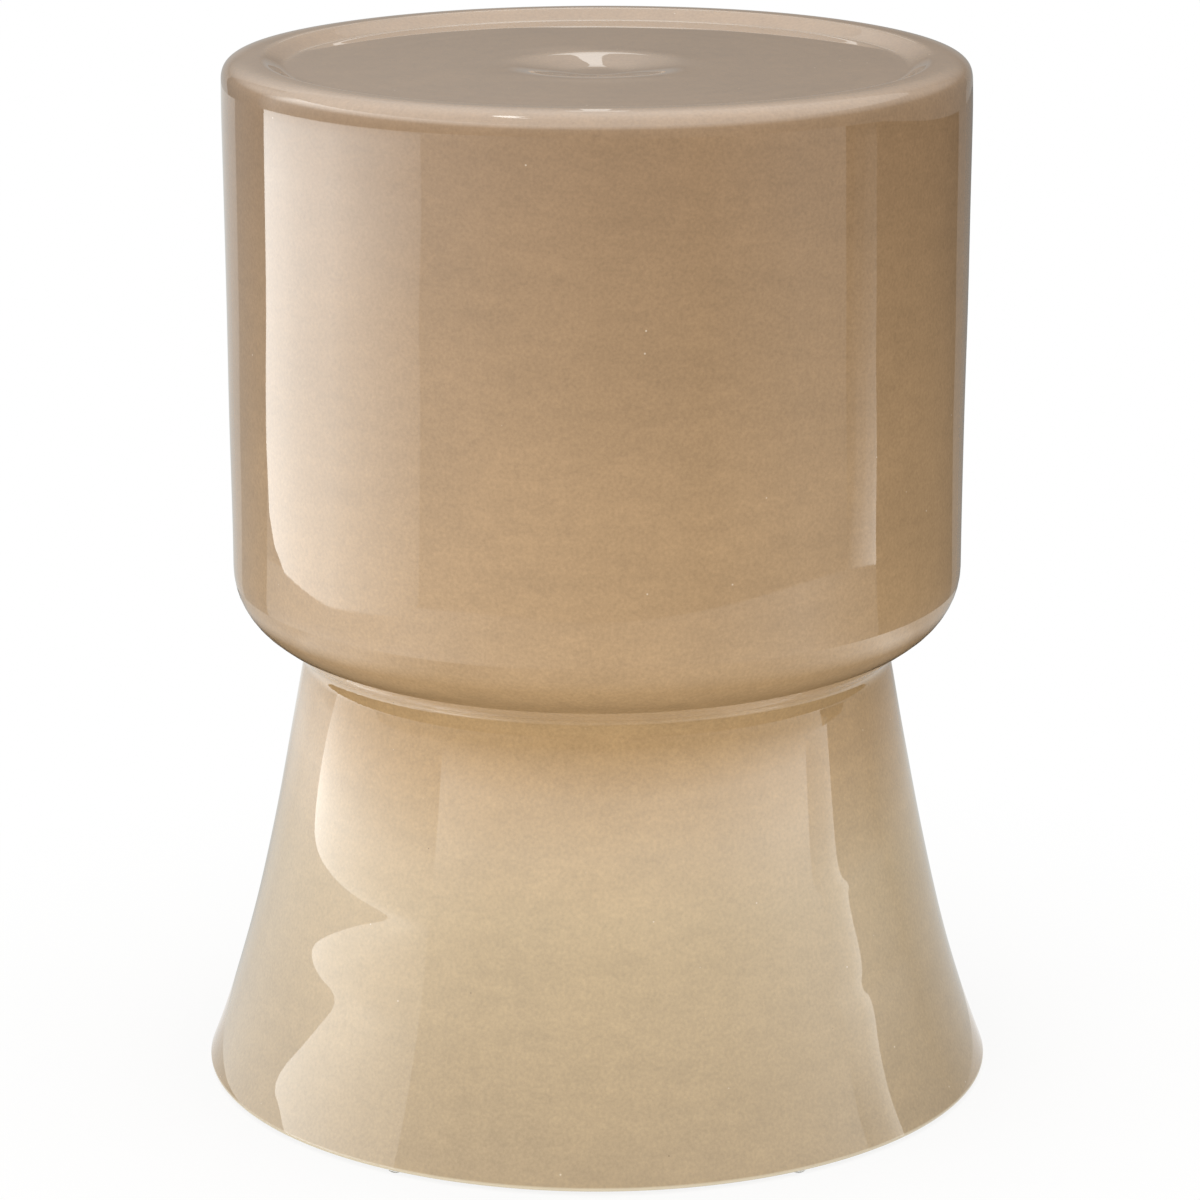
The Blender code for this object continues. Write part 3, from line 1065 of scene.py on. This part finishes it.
class STOOL_OT_studio(bpy.types.Operator):
    """Pale floor, soft lamps, white surroundings and the camera"""

    bl_idname = "glass_stool.studio"
    bl_label = "Studio"

    def execute(self, context):
        scene, studio = context.scene, context.scene.stool_studio
        self.make_floor(studio)
        self.make_lamps()
        self.make_cards(studio)
        self.make_world(scene, studio)
        self.make_camera(scene, studio)
        scene.view_settings.view_transform = "Standard"
        return {"FINISHED"}

    def make_floor(self, studio):
        """Matt painted floor, faintly uneven, white to the camera apart from the stool's shadow."""
        mesh = bpy.data.meshes.new("studio_floor")
        disc = bmesh.new()
        bmesh.ops.create_circle(disc, cap_ends=True, radius=FLOOR_RADIUS, segments=FLOOR_SIDES)
        disc.to_mesh(mesh)
        disc.free()
        floor = bpy.data.objects.new("studio_floor", mesh)
        material, tree, output = empty_material("matt_floor_paint")
        where = add_node(tree, "ShaderNodeTexCoord").outputs["Object"]
        roller = add_node(
            tree, "ShaderNodeTexNoise", {"Vector": where, "Scale": per_metre(ROLLER_MARKS), "Detail": 2.0}
        )
        shade = add_node(
            tree, "ShaderNodeMapRange", {"Value": roller.outputs["Fac"], "To Min": 0.99, "To Max": 1.01}
        )
        colour = add_node(
            tree, "ShaderNodeHueSaturation", {"Value": shade.outputs["Result"], "Color": studio.floor}
        )
        paint = add_node(
            tree,
            "ShaderNodeBsdfPrincipled",
            {"Base Color": colour.outputs["Color"], "Roughness": 0.9, "Specular IOR Level": 0.0},
        )
        white = add_node(tree, "ShaderNodeEmission", {"Color": CLEAN_WHITE, "Strength": 1.0})
        away = add_node(tree, "ShaderNodeVectorMath", {0: where}, operation="LENGTH")
        fade = add_node(
            tree,
            "ShaderNodeMapRange",
            {
                "Value": away.outputs["Value"],
                "From Min": SHADOW_EDGE[0],
                "From Max": SHADOW_EDGE[1],
                "To Min": SHADOW_WHITE,
                "To Max": 1.0,
            },
        )
        path = add_node(tree, "ShaderNodeLightPath")
        seen = eye_rays(tree, path)
        share = add_node(tree, "ShaderNodeMath", {0: seen, 1: fade.outputs["Result"]}, operation="MULTIPLY")
        mix = add_node(
            tree,
            "ShaderNodeMixShader",
            {0: share.outputs["Value"], 1: paint.outputs["BSDF"], 2: white.outputs["Emission"]},
        )
        tree.links.new(mix.outputs["Shader"], output.inputs["Surface"])
        floor.data.materials.append(material)
        bpy.context.scene.collection.objects.link(floor)

    def make_lamps(self):
        """Large soft lamps; their mirror images are left to the cards."""
        for name, (azimuth, elevation, distance, size, brightness) in LAMPS.items():
            light = bpy.data.lights.new(name, "AREA")
            light.shape, light.size = "SQUARE", size
            light.energy = LAMP_WATTS * size * size * brightness
            lamp = bpy.data.objects.new(name, light)
            tilt = math.radians(elevation)
            rise = distance * math.sin(tilt)
            lamp.location = studio_place(azimuth, distance * math.cos(tilt), LAMP_AIM_HEIGHT + rise)
            aim = Vector((0.0, 0.0, LAMP_AIM_HEIGHT)) - lamp.location
            lamp.rotation_mode = "QUATERNION"
            lamp.rotation_quaternion = aim.to_track_quat("-Z", "Y")
            lamp.visible_camera = lamp.visible_glossy = lamp.visible_transmission = False
            bpy.context.scene.collection.objects.link(lamp)

    def make_cards(self, studio):
        """White cards and darker gaps round the stool for the glass to mirror."""
        cloth = card_material(studio.cloth)
        for name, (level, columns) in FLAT_CARDS.items():
            laid = bent_columns(columns, lambda azimuth, reach: studio_place(azimuth, reach, level))
            place_strip(name, laid, cloth)
        for name, (distance, columns) in WALL_CARDS.items():
            stood = bent_columns(columns, lambda azimuth, height: studio_place(azimuth, distance, height))
            place_strip(name, stood, cloth)
        ceiling = [
            [(x, y, CEILING_HEIGHT, glow * share) for y, glow in CEILING_ROWS] for x, share in CEILING_SIDES
        ]
        place_strip("ceiling", ceiling, cloth)

    def make_world(self, scene, studio):
        """White to the eye and in the glass, lower on matt surfaces so that it doesn't wash them out."""
        world = bpy.data.worlds.new("studio_white")
        world.use_nodes = True
        scene.world = world
        tree = world.node_tree
        tree.nodes.clear()
        path = add_node(tree, "ShaderNodeLightPath")
        seen = eye_rays(tree, path)
        direct = before_matt_bounce(tree, path)
        clean = add_node(tree, "ShaderNodeMath", {0: seen, 1: direct}, operation="MULTIPLY").outputs["Value"]
        matt = add_node(tree, "ShaderNodeMath", {0: 1.0, 1: clean}, operation="SUBTRACT").outputs["Value"]
        level = add_node(
            tree, "ShaderNodeMath", {0: matt, 1: studio.ambient, 2: clean}, operation="MULTIPLY_ADD"
        )
        white = add_node(
            tree, "ShaderNodeBackground", {"Color": CLEAN_WHITE, "Strength": level.outputs["Value"]}
        )
        output = add_node(tree, "ShaderNodeOutputWorld")
        tree.links.new(white.outputs["Background"], output.inputs["Surface"])

    def make_camera(self, scene, studio):
        """Camera at the height, distance and lens that the stool was seen with."""
        lens = bpy.data.cameras.new("studio_camera")
        lens.sensor_width = SENSOR_WIDTH
        lens.lens = studio.camera_lens
        camera = bpy.data.objects.new("studio_camera", lens)
        camera.location = (studio.camera_side, -studio.camera_distance, studio.camera_height)
        camera.rotation_euler = (math.pi / 2 - studio.camera_pitch, 0.0, 0.0)
        scene.collection.objects.link(camera)
        scene.camera = camera


class STOOL_PT_panel(bpy.types.Panel):
    """Sizes, colours and making steps of the glass garden stool"""

    bl_idname = "STOOL_PT_panel"
    bl_label = "Glass garden stool"
    bl_space_type = "VIEW_3D"
    bl_region_type = "UI"
    bl_category = "Stool"

    def draw(self, context):
        for group in (context.scene.stool_shape, context.scene.stool_finish, context.scene.stool_studio):
            box = self.layout.box()
            for name in group.__annotations__:
                box.prop(group, name)
        for operator in MAKING_ORDER:
            self.layout.operator(operator.bl_idname)


MAKING_ORDER = (
    STOOL_OT_outer_casing,
    STOOL_OT_colour_layer,
    STOOL_OT_inner_layer,
    STOOL_OT_floor_bumpers,
    STOOL_OT_studio,
)
CLASSES = (StoolShape, StoolFinish, StoolStudio, *MAKING_ORDER, STOOL_PT_panel)


def register():
    """Registers the classes and hangs the settings on the scene."""
    for made in CLASSES:
        bpy.utils.register_class(made)
    bpy.types.Scene.stool_shape = PointerProperty(type=StoolShape)
    bpy.types.Scene.stool_finish = PointerProperty(type=StoolFinish)
    bpy.types.Scene.stool_studio = PointerProperty(type=StoolStudio)


def unregister():
    """Takes everything that register added away again."""
    for name in ("stool_shape", "stool_finish", "stool_studio"):
        delattr(bpy.types.Scene, name)
    for made in reversed(CLASSES):
        bpy.utils.unregister_class(made)


def main():
    """Makes the stool and its studio."""
    register()
    bpy.ops.glass_stool.outer_casing()
    bpy.ops.glass_stool.colour_layer()
    bpy.ops.glass_stool.inner_layer()
    bpy.ops.glass_stool.floor_bumpers()
    bpy.ops.glass_stool.studio()


if __name__ == "__main__":
    main()
